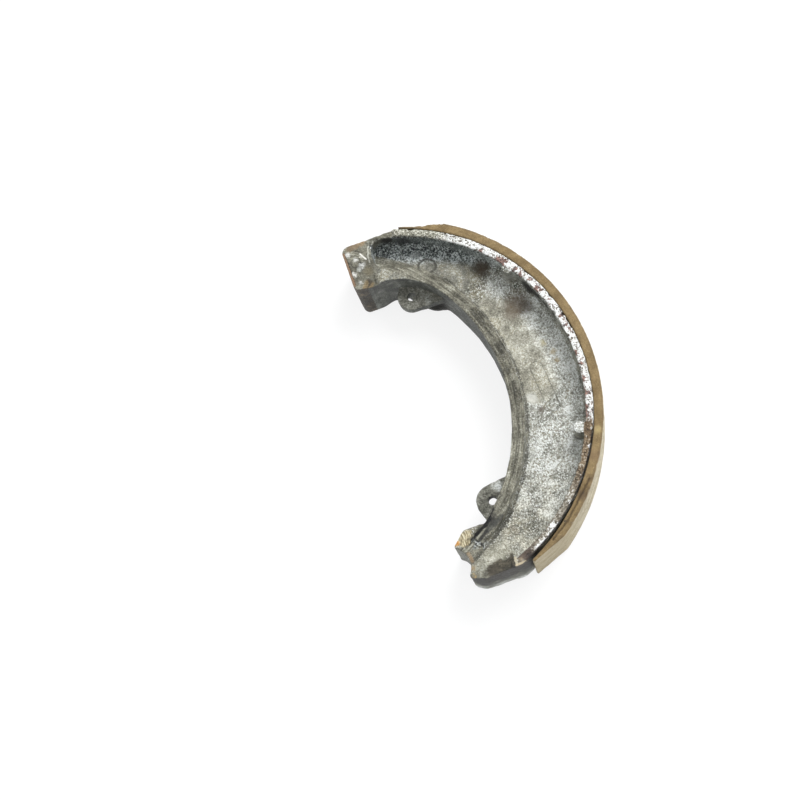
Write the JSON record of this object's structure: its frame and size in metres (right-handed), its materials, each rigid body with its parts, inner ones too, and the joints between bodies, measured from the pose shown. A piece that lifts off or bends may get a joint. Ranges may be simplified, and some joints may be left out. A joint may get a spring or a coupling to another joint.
{
  "type": "drum brake shoe",
  "caption": "Curved leading-trailing drum brake shoe: die-cast aluminium body with a bonded friction lining, spring ears, an anchor notch and a flat steel-faced cam end, worn and corroded.",
  "frame": {"origin": "on the drum's axis, level with the lower edge of the shoe's rim", "axes": "+Z along the drum's axis, +X to the middle of the lining, +Y to the cam end"},
  "size_m": [0.079, 0.1454, 0.03],
  "materials": {
    "casting": "corroded die-cast",
    "lining": "worn friction composite",
    "plate": "rusted"
  },
  "bodies": {
    "root": {"shoe_casting": "casting", "friction_lining": "lining", "cam_plate": "plate"}
  },
  "joints": []
}
